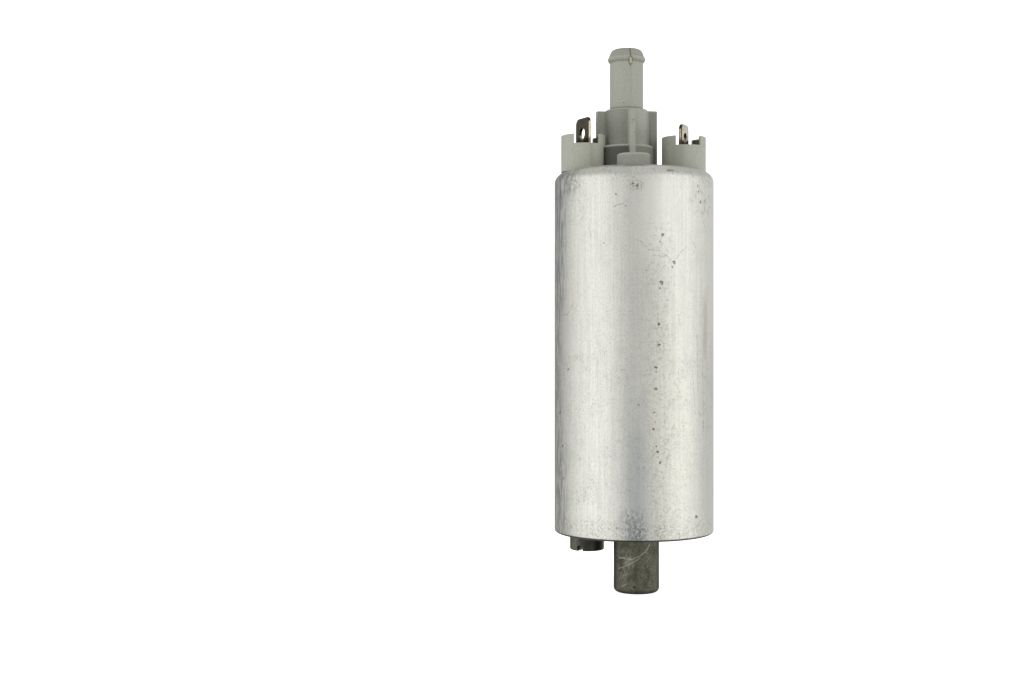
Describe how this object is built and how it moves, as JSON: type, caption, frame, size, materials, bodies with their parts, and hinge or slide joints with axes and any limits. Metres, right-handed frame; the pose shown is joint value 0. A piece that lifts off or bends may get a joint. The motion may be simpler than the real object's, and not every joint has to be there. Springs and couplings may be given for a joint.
{
  "type": "electric fuel pump",
  "caption": "In-tank electric fuel pump: rolled metal can, moulded outlet cap with hose tube and blade terminals, cast inlet spigot, gear pumping stage driven by a brushed motor.",
  "frame": {"origin": "on the can's axis, half way up the can, where a clamp holds it", "axes": "+Z along the axis towards the outlet tube, -X towards the wide terminal, -Y towards the small boss"},
  "size_m": [0.038, 0.038, 0.129],
  "materials": {
    "can_metal": "satin plated, lightly scuffed",
    "cap_plastic": "grey-green, matt",
    "cover_casting": "dull die casting, scratched",
    "relief_metal": "dark, dull",
    "wide_blade_metal": "tarnished",
    "narrow_blade_metal": "tinned",
    "ground_steel": "ground",
    "plain_steel": "plain",
    "spring_steel": "bright",
    "sintered_iron": "fine, sintered",
    "plate_casting": "machined casting",
    "bronze": "sintered",
    "lamination_steel": "stacked sheets",
    "enamelled_wire": "enamelled copper",
    "copper": "turned copper",
    "tinned_braid": "braided",
    "brush_brass": "plain",
    "carbon": "graphite",
    "ferrite": "dull black",
    "dark_moulding": "moulded",
    "pale_moulding": "moulded",
    "seal_rubber": "matt"
  },
  "bodies": {
    "housing": {"can": "can_metal", "outlet_cap": "cap_plastic", "terminal_positive": "wide_blade_metal", "terminal_negative": "narrow_blade_metal", "inlet_cover": "cover_casting", "cap_seal": "seal_rubber", "cover_seal": "seal_rubber", "stage_dowel_front": "ground_steel", "stage_dowel_back": "ground_steel", "relief_cap": "relief_metal", "relief_spring": "spring_steel", "relief_seat": "ground_steel", "pump_ring": "sintered_iron", "pressure_plate": "plate_casting", "lower_bearing": "bronze", "upper_bearing": "bronze", "flux_ring": "plain_steel", "magnet_front": "ferrite", "magnet_back": "ferrite", "magnet_clip_left": "spring_steel", "magnet_clip_right": "spring_steel", "check_seat": "brush_brass", "check_spring": "spring_steel", "brush_tube_positive": "brush_brass", "brush_spring_positive": "spring_steel", "brush_shunt_positive": "tinned_braid", "choke_core_positive": "ferrite", "choke_coil_positive": "enamelled_wire", "brush_tube_negative": "brush_brass", "brush_spring_negative": "spring_steel", "brush_shunt_negative": "tinned_braid", "choke_core_negative": "ferrite", "choke_coil_negative": "enamelled_wire"},
    "armature": {"shaft": "ground_steel", "shaft_spacer": "plain_steel", "lower_thrust_washer": "plain_steel", "upper_thrust_washer": "plain_steel", "armature_core": "lamination_steel", "armature_winding": "enamelled_wire", "commutator_base": "dark_moulding", "commutator_segments": "copper", "drive_coupling": "pale_moulding", "inner_rotor": "sintered_iron"},
    "outer_rotor": {"outer_rotor": "sintered_iron"},
    "brush_positive": {"brush_positive": "carbon"},
    "brush_negative": {"brush_negative": "carbon"},
    "check_poppet": {"check_poppet": "pale_moulding"},
    "relief_ball": {"relief_ball": "ground_steel"}
  },
  "joints": [
    {"name": "armature_spin", "type": "hinge", "parent": "housing", "child": "armature", "pos_m": [0, 0, 0], "axis": [0, 0, 1], "continuous": true},
    {"name": "outer_rotor_spin", "type": "hinge", "parent": "housing", "child": "outer_rotor", "pos_m": [0.0009, 0, 0], "axis": [0, 0, 1], "continuous": true},
    {"name": "brush_positive_slide", "type": "slide", "parent": "housing", "child": "brush_positive", "axis": [0, 0, 1], "range_m": [0, 0.0012], "stiffness_N_per_m": 300, "springref_m": -0.004, "deforming": ["brush_spring_positive", "brush_shunt_positive"]},
    {"name": "brush_negative_slide", "type": "slide", "parent": "housing", "child": "brush_negative", "axis": [0, 0, 1], "range_m": [0, 0.0012], "stiffness_N_per_m": 300, "springref_m": -0.004, "deforming": ["brush_spring_negative", "brush_shunt_negative"]},
    {"name": "check_poppet_lift", "type": "slide", "parent": "housing", "child": "check_poppet", "axis": [0, 0, 1], "range_m": [0, 0.0015], "stiffness_N_per_m": 100, "springref_m": -0.004, "deforming": ["check_spring"]},
    {"name": "relief_ball_lift", "type": "slide", "parent": "housing", "child": "relief_ball", "axis": [0, 0, -1], "range_m": [0, 0.001], "stiffness_N_per_m": 900, "springref_m": -0.002, "deforming": ["relief_spring"]}
  ],
  "couplings": [
    {"joint": "outer_rotor_spin", "follows": "armature_spin", "ratio": 0.85714}
  ]
}
